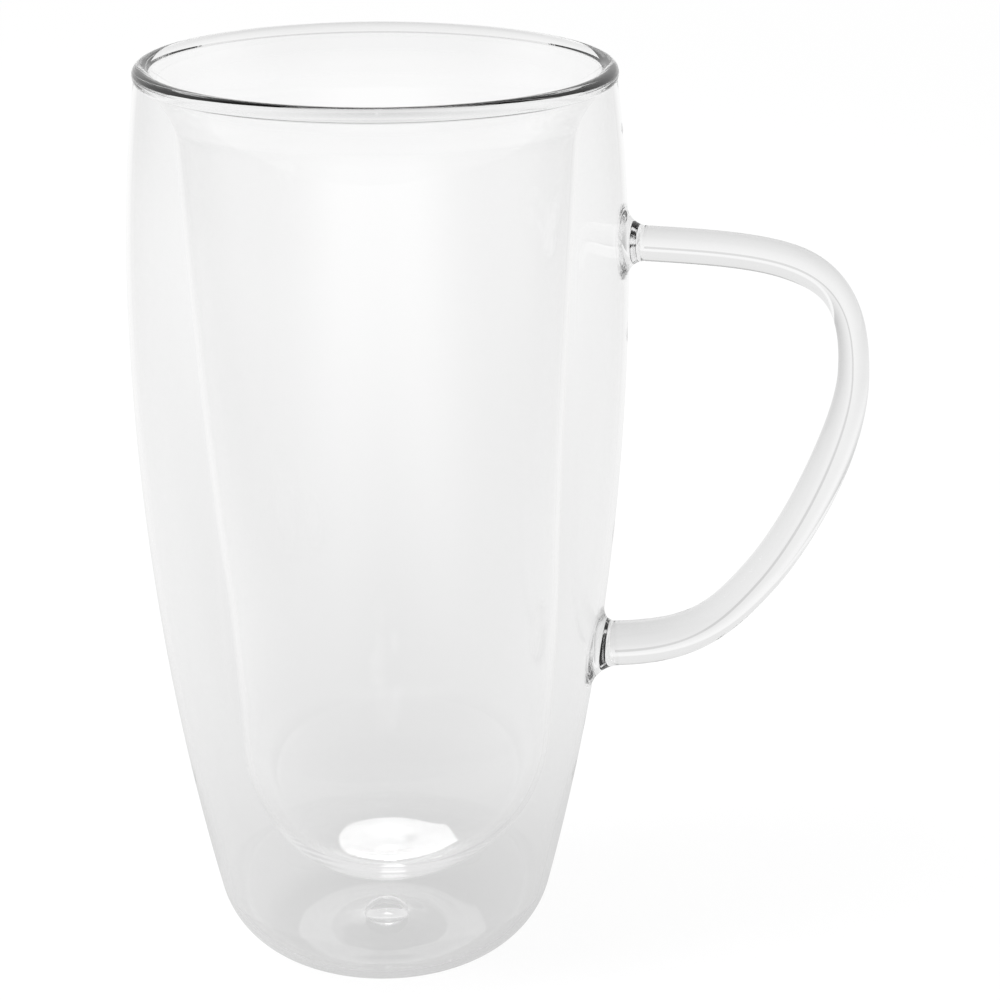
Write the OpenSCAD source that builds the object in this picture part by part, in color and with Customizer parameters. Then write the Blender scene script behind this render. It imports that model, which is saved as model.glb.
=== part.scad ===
// Tall double walled glass cup with an ear handle, blown and flame worked in clear borosilicate glass.
// Origin on the cup's axis in the foot plane, +Z up, handle towards +X. All sizes in millimetres.

/* [Cup] */
// Overall height from the foot plane to the top of the lip
cup_h = 160; // [145:1:175]
// Widest outside diameter
belly_d = 84.4; // [80:0.2:92]
// Height of the widest ring above the foot plane
belly_h = 120; // [112:1:128]
// Outside diameter of the wall just under the lip
neck_d = 79.4; // [76:0.2:79.6]
// Diameter to which the wall would narrow at the foot plane if its heel were sharp
base_d = 53.4; // [48:0.2:58]
// Thickness of the outer wall above the heel
wall_t = 1.0; // [0.9:0.05:1.3]

/* [Base] */
// Outside radius of the rounded heel
heel_r = 15.8; // [14:0.2:17]
// Thickness of the glass in the heel
heel_t = 1.2; // [1.1:0.1:1.8]
// Thickness of the base in its middle
floor_t = 2.2; // [1.8:0.1:2.8]
// Height above the heel over which the wall thins to its full run
thin_run = 25; // [15:1:35]
// Width of the flat ring that the cup stands on
foot_w = 3; // [2:0.5:5]
// Height of the hollow under the base
recess_h = 2.2; // [1.8:0.1:3]

/* [Vent seal] */
// Bore of the vent through the base
vent_d = 4; // [3:0.2:5]
// Diameter of the melted bead inside the base
seal_d = 8.2; // [7:0.2:10]
// Height of the melted bead above the floor of the base
seal_h = 1.9; // [1:0.1:2.5]
// Diameter of the smooth button under the base
button_d = 5.6; // [5.4:0.1:7]
// Depth of the button below the hollow's crown
button_h = 0.6; // [0.3:0.1:1]

/* [Lip] */
// Width of the bead's round crown
lip_w = 2.9; // [2.6:0.05:3.4]
// Height of the fused bead above the ends of the two walls
lip_h = 2.4; // [2:0.1:3]
// Air gap between the two walls where they enter the bead
lip_gap = 0.4; // [0.3:0.05:0.6]
// Slope of the lip's cup side out of upright, in degrees
lip_slant = 37; // [25:1:40]

/* [Inner wall] */
// Outside diameter of the inner wall at the foot of its shoulder
inner_neck_d = 66.8; // [64:0.2:70]
// Outside diameter of the round bottom of the inner wall
inner_bowl_d = 54.8; // [50:0.2:58]
// Bow of the inner wall's side out of a straight taper
inner_bow = 0.25; // [0:0.05:0.6]
// Thickness of the inner wall
inner_t = 1.0; // [0.9:0.05:1.3]
// Height of the inner wall's lowest point above the foot plane
inner_lift = 13.4; // [11:0.2:17]
// Height over which the inner wall swings out to the lip
shoulder_h = 8.5; // [7:0.5:12]
// Extra glass pooled at the bottom of the inner wall
pool_t = 4; // [2:0.2:6]

/* [Handle] */
// Depth of the rod's axis at the upper weld below the top of the lip
upper_depth = 28.7; // [24:0.5:34]
// Height of the rod's axis at the lower weld
lower_z = 59.3; // [54:0.5:64]
// Distance from the wall at the upper weld to the rod's axis at the outermost point
reach = 38.2; // [34:0.2:46]
// Depth of the outermost point below the upper weld
reach_depth = 21; // [17:0.5:25]
// Distance from the wall at the lower weld to the rod's axis at the elbow of the lower sweep
elbow_reach = 27.9; // [25:0.2:32]
// Height of the elbow above the lower weld
elbow_rise = 14.8; // [12:0.2:18]
// Diameter of the rod along the upper run
rod_top_d = 5.9; // [5:0.1:7]
// Thickness of the rod, in the plane of the handle, where the tight bend has drawn it thin
rod_bend_d = 4.8; // [4:0.1:6]
// Width of the rod across the plane of the handle at the tight bend
rod_bend_w = 6.2; // [5:0.1:7]
// Diameter of the rod along the side sweep
rod_side_d = 6.8; // [6:0.1:8]
// Diameter of the rod at the lower weld
rod_root_d = 7.8; // [7:0.1:9]

/* [Welds] */
// Diameter of the upper weld on the wall
upper_pad_d = 13.2; // [11:0.2:15]
// Length of the upper weld's flare along the rod
upper_flare = 3.2; // [2.5:0.1:4.5]
// Diameter of the lower weld on the wall
lower_pad_d = 14.4; // [12:0.2:16]
// Length of the lower weld's flare along the rod
lower_flare = 3.4; // [2.5:0.1:4.5]

/* [Hidden] */
$fn = 180;

// Clear glass with the faint grey that it shows on a white ground, and the deeper tone of thick glass
clear_glass = [0.90, 0.92, 0.92, 0.35];
thick_glass = [0.78, 0.81, 0.82, 0.5];

belly_r = belly_d / 2;
neck_r = neck_d / 2;
base_r = base_d / 2;
neck_h = cup_h - lip_h;

// Radii of the long arc below the widest ring and the shorter one above it, both upright at that ring
low_drop = belly_r - base_r;
low_r = (belly_h * belly_h + low_drop * low_drop) / (2 * low_drop);
up_drop = belly_r - neck_r;
up_run = neck_h - belly_h;
up_r = (up_run * up_run + up_drop * up_drop) / (2 * up_drop);

// The heel arc touches the foot plane and the long arc from inside
heel_x = belly_r - low_r + sqrt(pow(low_r - heel_r, 2) - pow(belly_h - heel_r, 2));
heel_end = atan2(heel_r - belly_h, heel_x - belly_r + low_r);
heel_top = heel_r + heel_r * sin(heel_end);
foot_r = heel_x - foot_w;
vent_r = vent_d / 2;

// Steps along the curves of the outlines
heel_steps = 16;
low_steps = 40;
up_steps = 14;
floor_steps = 10;
bead_steps = 18;
bowl_steps = 30;
side_steps = 30;
shoulder_steps = 14;

function along(steps) = [for (i = [0:steps]) i / steps];
function arc(cx, cz, r, a0, a1, steps) =
    [for (s = along(steps)) let (a = a0 + (a1 - a0) * s) [cx + r * cos(a), cz + r * sin(a)]];
function ease(s) = (1 - cos(180 * min(max(s, 0), 1))) / 2;
function unit(v) = v / norm(v);
function tail(v, from = 1) = [for (i = [from:len(v) - 1]) v[i]];
function reversed(v) = [for (i = [len(v) - 1:-1:0]) v[i]];

// Outline of the outer skin: heel, long lower arc, shorter upper arc
heel_line = arc(heel_x, heel_r, heel_r, -90, heel_end, heel_steps);
low_line = arc(belly_r - low_r, belly_h, low_r, heel_end, 0, low_steps);
up_line = arc(belly_r - up_r, belly_h, up_r, 0, asin(up_run / up_r), up_steps);
wall_line = concat(low_line, tail(up_line));

// Outward normal of each point of a line, square to its neighbours; the ends take the normals given
function normals(line, first, last) =
    [for (i = [0:len(line) - 1])
        i == 0 ? first : i == len(line) - 1 ? last :
        let (d = unit(line[i + 1] - line[i - 1])) [d[1], -d[0]]];
function inset(line, n, t) = [for (i = [0:len(line) - 1]) line[i] - n[i] * t[i]];

// The gap side of the outer wall: the thickness runs out from the heel's to the wall's
wall_n = normals(wall_line, [cos(heel_end), sin(heel_end)], [1, 0]);
wall_ts = [for (p = wall_line) wall_t + (heel_t - wall_t) * (1 - ease((p[1] - heel_top) / thin_run))];
wall_gap_line = inset(wall_line, wall_n, wall_ts);

// Hollow under the base, level at its crown and at the foot ring, and the floor over it, thickest there
function hollow(r) = recess_h * (1 - ease(r / foot_r));
function floor_top(r) = hollow(r) + heel_t + (floor_t - heel_t) * (1 - ease(r / foot_r));

// The bead hangs over the middle of the two walls' ends, and its crown runs out into a slant
bead_r = lip_w / 2;
bead_foot = wall_t / 2 + inner_t / 2 + lip_gap / 2;
bead_x = neck_r - bead_foot;
bead_z = cup_h - bead_r;
crown_end = [bead_x - bead_r * cos(lip_slant), bead_z + bead_r * sin(lip_slant)];
lip_foot_r = crown_end[0] - (crown_end[1] - neck_h) * tan(lip_slant);
// The outer skirt is part of an ellipse that stops where it meets the wall's outer face
least_lean = 6;
bead_lean = max(acos(min(bead_foot / bead_r, 1)), least_lean);
bead_skirt = (bead_z - neck_h) / sin(bead_lean);

// The inner wall's side is tangent to its round bottom
bowl_r = inner_bowl_d / 2;
bowl_z = inner_lift + bowl_r;
shoulder_z = neck_h - shoulder_h;
side_top = [inner_neck_d / 2, shoulder_z];
to_top = side_top - [0, bowl_z];
bowl_end = atan2(to_top[1], to_top[0]) - acos(bowl_r / norm(to_top));
side_foot = [bowl_r * cos(bowl_end), bowl_z + bowl_r * sin(bowl_end)];
side_slope = (side_top[0] - side_foot[0]) / (side_top[1] - side_foot[1]);
inner_rim_r = neck_r - wall_t - lip_gap;
// The shoulder swings out smoothly, and where it enters the lip it leans out as the lip's slant does
shoulder_out = inner_rim_r - side_top[0] - side_slope * shoulder_h;
shoulder_lean = (tan(lip_slant) - side_slope) * shoulder_h / 2;
function swing(s) = (shoulder_out - shoulder_lean) * ease(s) + shoulder_lean * s * s;

bowl_line = arc(0, bowl_z, bowl_r, -90, bowl_end, bowl_steps);
side_line = [for (s = along(side_steps))
    side_foot + (side_top - side_foot) * s + [4 * inner_bow * s * (1 - s), 0]];
shoulder_line = [for (s = along(shoulder_steps))
    side_top + [(side_slope * shoulder_h) * s + swing(s), shoulder_h * s]];
vessel_line = concat(bowl_line, tail(side_line));
inner_line = concat(vessel_line, tail(shoulder_line));

// Pooled glass fades with a high power of the cosine, measured from the bottom of the bowl
pool_power = 8;
function pooled(p) = p[1] < bowl_z ? pool_t * pow((bowl_z - p[1]) / norm(p - [0, bowl_z]), pool_power) : 0;
vessel_ts = [for (p = vessel_line) inner_t + pooled(p)];
// Up the shoulder the wall gathers glass, so that its cup side runs into the lip's slant
rim_t = inner_rim_r - lip_foot_r;
shoulder_cup_line = [for (p = shoulder_line)
    [p[0] - inner_t - (rim_t - inner_t) * ease((p[1] - shoulder_z) / shoulder_h), p[1]]];
inner_cup_line = concat(
    inset(vessel_line, normals(vessel_line, [0, -1], [1, 0]), vessel_ts), tail(shoulder_cup_line));

// Where the rod's axis meets the skin, and the angles at which it leaves and returns
upper_tilt = -1;
lower_tilt = 6;
function arc_drop(r, rise) = r * (1 - sqrt(1 - pow(rise / r, 2)));
function skin_r(z) = belly_r - arc_drop(z < belly_h ? low_r : up_r, z - belly_h);
upper_z = cup_h - upper_depth;
upper_root = [skin_r(upper_z), upper_z];
lower_root = [skin_r(lower_z), lower_z];
function heading(a) = [cos(a), sin(a)];

// Leads that shape the three curves of the rod's axis, as shares of the handle's reach
elbow_turn = 233;
top_lead_share = 0.64;
crown_lead_share = 0.52;
side_lead_share = 0.265;
elbow_in_share = 0.29;
elbow_out_share = 0.306;
root_lead_share = 0.34;

function cubic(p, s) = pow(1 - s, 3) * p[0] + 3 * s * pow(1 - s, 2) * p[1]
    + 3 * s * s * (1 - s) * p[2] + pow(s, 3) * p[3];
function cubic_run(p, s) = 3 * pow(1 - s, 2) * (p[1] - p[0]) + 6 * s * (1 - s) * (p[2] - p[1])
    + 3 * s * s * (p[3] - p[2]);
rod_start = upper_root + upper_flare * heading(upper_tilt);
rod_end = lower_root + lower_flare * heading(lower_tilt);
outermost = upper_root + [reach, -reach_depth];
elbow = lower_root + [elbow_reach, elbow_rise];
rod_curves = [
    [rod_start, rod_start + top_lead_share * reach * heading(upper_tilt),
        outermost + crown_lead_share * reach * heading(90), outermost],
    [outermost, outermost - side_lead_share * reach * heading(90),
        elbow - elbow_in_share * reach * heading(elbow_turn), elbow],
    [elbow, elbow + elbow_out_share * reach * heading(elbow_turn),
        rod_end + root_lead_share * reach * heading(lower_tilt), rod_end]];

curve_steps = 16;
rod_sides = 32;
rod_s = [for (c = [0:2]) for (s = along(curve_steps)) if (c == 0 || s > 0) [c, s]];
rod_axis = [for (q = rod_s) cubic(rod_curves[q[0]], q[1])];
rod_way = [for (q = rod_s) unit(cubic_run(rod_curves[q[0]], q[1]))];
rod_share = [for (i = [0:len(rod_s) - 1]) i / (len(rod_s) - 1)];

// The rod's thickness and width at stations along its length
station_share = [0, 0.14, 0.25, 0.52, 0.75, 1];
rod_thick = [rod_top_d, rod_top_d, rod_bend_d, rod_side_d, rod_side_d, rod_root_d];
rod_wide = [rod_top_d, rod_top_d, rod_bend_w, rod_side_d, rod_side_d, rod_root_d];
function station(s, k = 0) = k > len(station_share) - 3 || s < station_share[k + 1] ? k : station(s, k + 1);
function at_station(s, sizes) = let (k = station(s), a = station_share[k], b = station_share[k + 1])
    sizes[k] + (sizes[k + 1] - sizes[k]) * ease((s - a) / (b - a));

// How far a weld's root reaches into the form it is cut to, as a share of its own width
root_share = 0.5;
flare_steps = 14;

module turned(points) rotate_extrude() polygon(points);

// The whole outer form, filled, that the welds are cut to
module outer_form() turned(concat([[0, 0]], heel_line, tail(wall_line), [[0, neck_h]]));

module outer_wall() color(clear_glass)
    turned(concat(wall_line, reversed(wall_gap_line)));

module base() {
    radii = [for (s = along(floor_steps)) vent_r + (foot_r - vent_r) * s];
    under = [for (r = radii) [r, hollow(r)]];
    over = [for (r = radii) [r, floor_top(r)]];
    heel_gap_line = arc(heel_x, heel_r, heel_r - heel_t, -90, heel_end, heel_steps);
    color(thick_glass)
        turned(concat(under, heel_line, reversed(heel_gap_line), reversed(over)));
}

module vent_seal() {
    bead = [for (s = along(floor_steps)) let (a = 90 * s, r = seal_d / 2 * cos(a))
        [r, floor_top(r) + seal_h * sin(a)]];
    button = [for (s = along(floor_steps)) let (a = 90 * (1 - s), r = button_d / 2 * cos(a))
        [r, hollow(r) - button_h * sin(a)]];
    seat = [for (s = along(floor_steps)) let (r = vent_r + (seal_d / 2 - vent_r) * s)
        [r, floor_top(r)]];
    rest = [for (s = along(floor_steps)) let (r = button_d / 2 + (vent_r - button_d / 2) * s)
        [r, hollow(r)]];
    color(thick_glass) turned(concat(button, tail(rest), seat, tail(bead)));
}

module inner_wall() color(clear_glass)
    turned(concat(inner_line, reversed(inner_cup_line)));

module lip_bead() {
    crown = [for (s = along(bead_steps)) let (a = (180 - lip_slant) * s)
        [bead_x + bead_r * cos(a), bead_z + bead_r * sin(a)]];
    outer_skirt = [for (s = along(flare_steps)) let (a = bead_lean * (s - 1))
        [bead_x + bead_r * cos(a), bead_z + bead_skirt * sin(a)]];
    color(thick_glass) turned(concat(outer_skirt, tail(crown), [[lip_foot_r, neck_h]]));
}

// A swept rod: each ring is an ellipse square to the axis, thick in the plane and wide across it
module handle_rod() {
    rings = [for (i = [0:len(rod_axis) - 1]) for (k = [0:rod_sides - 1])
        let (a = 360 * k / rod_sides, w = rod_way[i], c = rod_axis[i],
            t = at_station(rod_share[i], rod_thick) / 2 * cos(a),
            y = at_station(rod_share[i], rod_wide) / 2 * sin(a))
        [c[0] - w[1] * t, y, c[1] + w[0] * t]];
    last = (len(rod_axis) - 1) * rod_sides;
    sides = [for (i = [0:len(rod_axis) - 2]) for (k = [0:rod_sides - 1])
        let (a = i * rod_sides + k, b = i * rod_sides + (k + 1) % rod_sides)
        each [[a, b, b + rod_sides], [a, b + rod_sides, a + rod_sides]]];
    near_end = [for (k = [rod_sides - 1:-1:0]) k];
    far_end = [for (k = [0:rod_sides - 1]) last + k];
    color(clear_glass) polyhedron(rings, concat([near_end], sides, [far_end]));
}

// A weld flares from the rod to its pad like a fillet, and is cut to the skin that it is fused to
module weld(root, tilt, pad_d, rod_d, flare) {
    pad_r = pad_d / 2;
    rod_r = rod_d / 2;
    curve = [for (s = along(flare_steps))
        [pad_r - (pad_r - rod_r) * sqrt(1 - pow(1 - s, 2)), flare * s]];
    difference() {
        translate([root[0], 0, root[1]]) rotate([0, 90 - tilt, 0])
            turned(concat([[0, -pad_r * root_share], [pad_r, -pad_r * root_share]], curve, [[0, flare]]));
        outer_form();
    }
}

module upper_weld() color(thick_glass)
    weld(upper_root, upper_tilt, upper_pad_d, rod_top_d, upper_flare);

module lower_weld() color(thick_glass)
    weld(lower_root, lower_tilt, lower_pad_d, rod_root_d, lower_flare);

outer_wall();
base();
vent_seal();
inner_wall();
lip_bead();
handle_rod();
upper_weld();
lower_weld();
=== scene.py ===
import math

import bmesh
import bpy
import numpy as np
from bpy.props import FloatProperty, FloatVectorProperty, IntProperty, PointerProperty
from mathutils import Matrix, Vector


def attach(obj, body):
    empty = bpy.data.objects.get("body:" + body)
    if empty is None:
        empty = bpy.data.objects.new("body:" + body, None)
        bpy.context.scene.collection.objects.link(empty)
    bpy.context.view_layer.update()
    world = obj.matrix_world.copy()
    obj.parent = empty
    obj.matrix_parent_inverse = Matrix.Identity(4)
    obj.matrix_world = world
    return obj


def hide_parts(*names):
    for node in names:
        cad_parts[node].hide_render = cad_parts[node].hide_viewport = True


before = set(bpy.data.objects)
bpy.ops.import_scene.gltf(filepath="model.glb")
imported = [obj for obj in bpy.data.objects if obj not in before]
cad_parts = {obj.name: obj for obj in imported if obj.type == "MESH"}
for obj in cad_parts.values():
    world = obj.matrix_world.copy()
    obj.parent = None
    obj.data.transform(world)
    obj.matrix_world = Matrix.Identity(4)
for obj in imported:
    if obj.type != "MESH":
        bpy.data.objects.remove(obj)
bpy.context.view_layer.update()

bl_info = {
    "name": "Double walled glass cup",
    "version": (1, 0, 0),
    "blender": (4, 5, 0),
    "location": "View3D > Sidebar > Glass cup",
    "description": "Blown walls, a fused lip, a bent rod handle and a pale studio for a tall glass cup",
    "category": "Add Mesh",
}

MM = 0.001

# Points closer than this are one point
TOUCH = 1e-7
# Material slots of every glass piece
GLASS, FUSED = 0, 1
# Turns of light in the glass, and fused joints that it may cross
LONG_PATH, CLEAR_PATH = 512, 64
# A face is fused where every corner has at least this much of the joint mark
ON_JOINT = 0.99
# Steps along each stretch of outline, from the foot to the lip and along the handle
STEPS = {
    "rest": 3, "sole": 20, "seat": 5, "pan": 20, "heel": 48, "heel_gap": 40, "bead": 20,
    "low": 72, "up": 26, "bowl": 52, "side": 26, "shoulder": 24,
    "crown": 56, "skirt": 14, "slant": 12, "arch": 10,
    "window": 7, "weld": 20, "rod": 64,
}


def linear(hex_colour):
    """An sRGB hex colour as the linear values that shaders take."""
    out = []
    for k in (1, 3, 5):
        c = int(hex_colour[k:k + 2], 16) / 255
        out.append(c / 12.92 if c <= 0.04045 else ((c + 0.055) / 1.055) ** 2.4)
    return tuple(out)


def size(name, text, millimetres):
    return FloatProperty(
        name=name, description=text, default=millimetres * MM, unit="LENGTH", precision=5)


def turn(name, text, degrees):
    return FloatProperty(name=name, description=text, default=math.radians(degrees), subtype="ANGLE")


def share(name, text, default, most=2):
    return FloatProperty(name=name, description=text, default=default, min=0, max=most)


def tint(name, text, hex_colour):
    return FloatVectorProperty(
        name=name, description=text, default=linear(hex_colour), subtype="COLOR", min=0, max=1)


class GlassCupWalls(bpy.types.PropertyGroup):
    """Outlines of the two walls, the base, its seal and the lip."""
    cup_h: size("Height", "Foot plane to the top of the lip", 160)
    belly_r: size("Belly radius", "Widest outside radius", 42.2)
    belly_h: size("Belly height", "Height of the widest ring", 120)
    neck_r: size("Neck radius", "Outside radius under the lip", 39.7)
    base_r: size("Base radius", "Outside radius carried down to the foot plane", 26.7)
    wall_t: size("Outer wall", "Thickness of the outer wall above the heel", 1.0)
    heel_r: size("Heel radius", "Rounding of the heel", 15.8)
    heel_t: size("Heel glass", "Thickness of the heel", 1.2)
    floor_t: size("Floor glass", "Thickness of the base in its middle", 2.2)
    thin_run: size("Thinning run", "Height over which the wall thins above the heel", 25)
    foot_w: size("Foot ring", "Width of the ring that the cup stands on", 3)
    recess_h: size("Hollow", "Height of the hollow under the base", 2.2)
    vent_r: size("Vent", "Radius of the vent bore", 2)
    seal_r: size("Seal bead", "Radius of the melted bead", 4.1)
    seal_h: size("Seal height", "Height of the melted bead", 1.9)
    button_r: size("Button", "Radius of the button under the base", 2.8)
    button_h: size("Button depth", "Depth of the button", 0.6)
    lip_r: size("Lip radius", "Half the width of the fused lip", 1.45)
    lip_h: size("Lip height", "Height of the lip above the ends of the walls", 2.4)
    lip_gap: size("Lip gap", "Air gap between the walls where they enter the lip", 0.4)
    inner_neck_r: size("Inner neck", "Outside radius at the foot of the shoulder", 33.4)
    inner_bowl_r: size("Inner bowl", "Outside radius of the round bottom", 27.4)
    inner_bow: size("Inner bow", "Bow of the side out of a straight taper", 0.25)
    inner_t: size("Inner wall", "Thickness of the inner wall", 1.0)
    inner_lift: size("Inner lift", "Height of the inner wall's lowest point", 13.4)
    lip_slant: turn("Lip slant", "Slope of the lip's cup side, out of upright", 37)
    shoulder_h: size("Shoulder", "Height over which the inner wall swings out to the lip", 8.5)
    pool_t: size("Pool", "Extra glass at the bottom of the inner wall", 4)
    pool_focus: FloatProperty(
        name="Pool focus", description="How closely the pool keeps to the lowest point", default=8, min=1)
    sway: size("Sway", "How far the hand blown inner wall leans to the handle", 2.2)
    segments: IntProperty(name="Segments", description="Faces round the cup", default=288, min=96)


class GlassCupHandle(bpy.types.PropertyGroup):
    """The rod's axis, its thickness and its welds."""
    upper_depth: size("Upper weld", "Depth of the rod's axis below the lip", 28.7)
    lower_z: size("Lower weld", "Height of the rod's axis", 59.3)
    reach: size("Reach", "From the wall to the rod's axis at its outermost point", 38.2)
    reach_depth: size("Reach depth", "Outermost point below the upper weld", 21)
    elbow_reach: size("Elbow reach", "From the wall to the rod's axis at the elbow", 27.9)
    elbow_rise: size("Elbow rise", "Elbow above the lower weld", 14.8)
    elbow_turn: turn("Elbow heading", "Direction of the rod at the elbow", 233)
    upper_tilt: turn("Upper tilt", "Direction in which the rod leaves the wall", -1)
    lower_tilt: turn("Lower tilt", "Direction in which the rod returns to the wall", 6)
    top_d: size("Top run", "Thickness of the rod along its top run", 5.9)
    bend_d: size("Bend", "Thickness where the tight bend has drawn the rod thin", 4.8)
    bend_w: size("Bend width", "Width of the rod at the tight bend", 6.2)
    side_d: size("Side sweep", "Thickness of the rod along its side sweep", 6.8)
    root_d: size("Root", "Thickness of the rod at the lower weld", 7.8)
    upper_pad_r: size("Upper pad", "Radius of the upper weld on the wall", 6.6)
    upper_flare: size("Upper flare", "Length of the upper weld along the rod", 3.2)
    lower_pad_r: size("Lower pad", "Radius of the lower weld on the wall", 7.2)
    lower_flare: size("Lower flare", "Length of the lower weld along the rod", 3.4)
    lower_drag: share("Lower drag", "How far the soft lower weld sagged down the wall", 0.15)
    skin_lead: share("Skin lead", "How far the welds run on level with the skin", 0.55, 1)
    rod_lead: share("Rod lead", "How far the welds run on level with the rod", 0.55, 1)
    sides: IntProperty(name="Sides", description="Faces round the rod", default=96, min=32)


class GlassCupLook(bpy.types.PropertyGroup):
    """Glass, floor, light and camera."""
    wall_tint: tint("Wall glass", "Clear glass of the blown walls", "#FFFFFF")
    base_tint: tint("Base glass", "Clear glass of the base, its seal and the lip", "#FCFCFC")
    rod_tint: tint("Rod glass", "Clear glass of the rod and its welds", "#FAFAFA")
    # Painted shade: the draw line is a dark line painted into the rod's glass where its skin faces out of the
    # handle's plane, in place of the dark line that refraction shows there
    painted_line_tint: tint("Draw line", "Glass along the fine line that drawing left on the rod", "#C6C6C6")
    painted_line_wide: turn("Draw line width", "Half the line's width, round the rod", 5)
    lip_turns: FloatProperty(
        name="Lip turns", description="Turns inside the lip after which its light is lost", default=10, min=0)
    wall_turns: FloatProperty(
        name="Wall turns", description="The same for light that came up a wall", default=40, min=0)
    lamp_tint: tint("Lamp light", "What the glass leaves of the lamp's light", "#F4F4F4")
    ior: FloatProperty(name="IOR", description="Refraction of borosilicate glass", default=1.474)
    floor_tint: tint("Floor", "Pale floor far from the cup", "#F6F6F6")
    # Painted shadow and painted shade on the floor, shown only by the glass: darker near the foot as the
    # cup's shadow, and darker at both sides
    near_painted_shadow: share("Near dark", "How much darker the glass shows the floor at the foot", 0.39)
    near_wide: size("Near width", "Distance aside in which that darkness falls to a half", 100)
    near_reach: size("Near reach", "Distance ahead in which that darkness falls to a half", 300)
    side_painted_shade: share("Side dark", "How much darker the glass shows the floor at both sides", 0.45)
    side_from: share("Side from", "Sideways share of the distance where the sides begin", 0.25)
    side_to: share("Side to", "Sideways share of the distance where the sides are darkest", 0.8)
    middle: size("Middle", "Distance within which the floor has no sides", 300)
    fade_from: size("Fade from", "Distance where the floor's shadow starts to fade", 600)
    fade_to: size("Fade to", "Distance where it has gone", 1400)
    floor_half: size("Floor half", "Half the width of the floor", 6000)
    shadow: share("Shadow", "How much of the cup's shadow the floor keeps", 0.12)
    horizon: share("Horizon", "Brightness of the studio at the horizon", 1.0)
    sky: share("Sky", "Brightness of the studio above the horizon", 0.86)
    zenith: share("Zenith", "Brightness of the studio overhead", 0.10)
    behind: share("Dark side", "Brightness of the studio behind the camera", 0.8)
    window: share("Window", "Brightness of the soft window behind the cup", 4.5, 20)
    window_thin: share("Window in thin glass", "Share of it that fewer walls show", 0.1)
    window_turn: turn("Window turn", "Direction of the window, to the left of straight ahead", 3.5)
    window_wide: turn("Window width", "Half the window's width", 5.5)
    window_low: turn("Window sill", "Lower edge of the window above the horizon", 13)
    window_high: turn("Window head", "Upper edge of the window above the horizon", 33)
    key: FloatProperty(name="Key", description="Power of the soft lamp", default=45, unit="POWER")
    key_wide: size("Key width", "Width of the soft lamp", 900)
    key_place: FloatVectorProperty(
        name="Key place", description="Place of the soft lamp", default=(-0.9, -0.5, 1.5), unit="LENGTH")
    camera_turn: turn("View", "Turn of the camera towards the handle", 12)
    camera_far: size("Distance", "Distance of the camera from the cup's axis", 448)
    camera_high: size("Camera height", "Height of the camera", 241.87)
    pitch: turn("Pitch", "Tilt of the camera down", 19.48)
    yaw: turn("Yaw", "Turn of the camera past the cup's axis", 2.63)
    roll: turn("Roll", "Roll of the camera", 0.14)
    lens: FloatProperty(name="Lens", description="Focal length", default=98.46, unit="CAMERA")


# Lines and outlines, as points of radius and height

def along(stretch):
    return np.linspace(0.0, 1.0, STEPS[stretch] + 1)


def ease(s):
    return (1 - np.cos(math.pi * np.clip(s, 0, 1))) / 2


def arc(x, z, r, start, end, s):
    a = start + (end - start) * s
    return np.c_[x + r * np.cos(a), z + r * np.sin(a)]


def cubic(p, s):
    """Points of a cubic curve; its four corners may be single points or whole rings."""
    return (1 - s) ** 3 * p[0] + 3 * s * (1 - s) ** 2 * p[1] + 3 * s * s * (1 - s) * p[2] + s ** 3 * p[3]


def heading(a):
    return np.array([math.cos(a), math.sin(a)])


def turn_order(up, across):
    """Angle round a weld from straight across, with room for rounding just below zero."""
    slack = 1e-3
    return (np.arctan2(up, across) + slack) % (2 * math.pi)


def inset(line, t, first, last):
    """The line moved inwards by t, square to itself; its ends go along the normals given."""
    d = np.gradient(line, axis=0)
    d /= np.linalg.norm(d, axis=1)[:, None]
    n = np.c_[d[:, 1], -d[:, 0]]
    n[0], n[-1] = first, last
    return line - n * np.asarray(t)[:, None]


def free(line):
    """A stretch of outline that is a real surface of the glass."""
    return np.c_[line, np.zeros(len(line))]


def joint(line):
    """A stretch of outline where two pieces are fused, marked in the third column."""
    return np.c_[line, np.ones(len(line))]


def chained(*runs):
    """Runs end to end. Points that meet become one, on the joint if either was."""
    out = runs[0].copy()
    for line in runs[1:]:
        if np.linalg.norm(out[-1, :2] - line[0, :2]) < TOUCH:
            out[-1, 2] = max(out[-1, 2], line[0, 2])
            line = line[1:]
        out = np.vstack([out, line])
    return out


def ring_closed(outline):
    """A closed outline ends where it starts, with the joint marks of both ends."""
    out = outline
    if np.linalg.norm(out[0, :2] - out[-1, :2]) > TOUCH:
        out = np.vstack([out, out[:1]])
    out[0, 2] = out[-1, 2] = max(out[0, 2], out[-1, 2])
    return out


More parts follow.
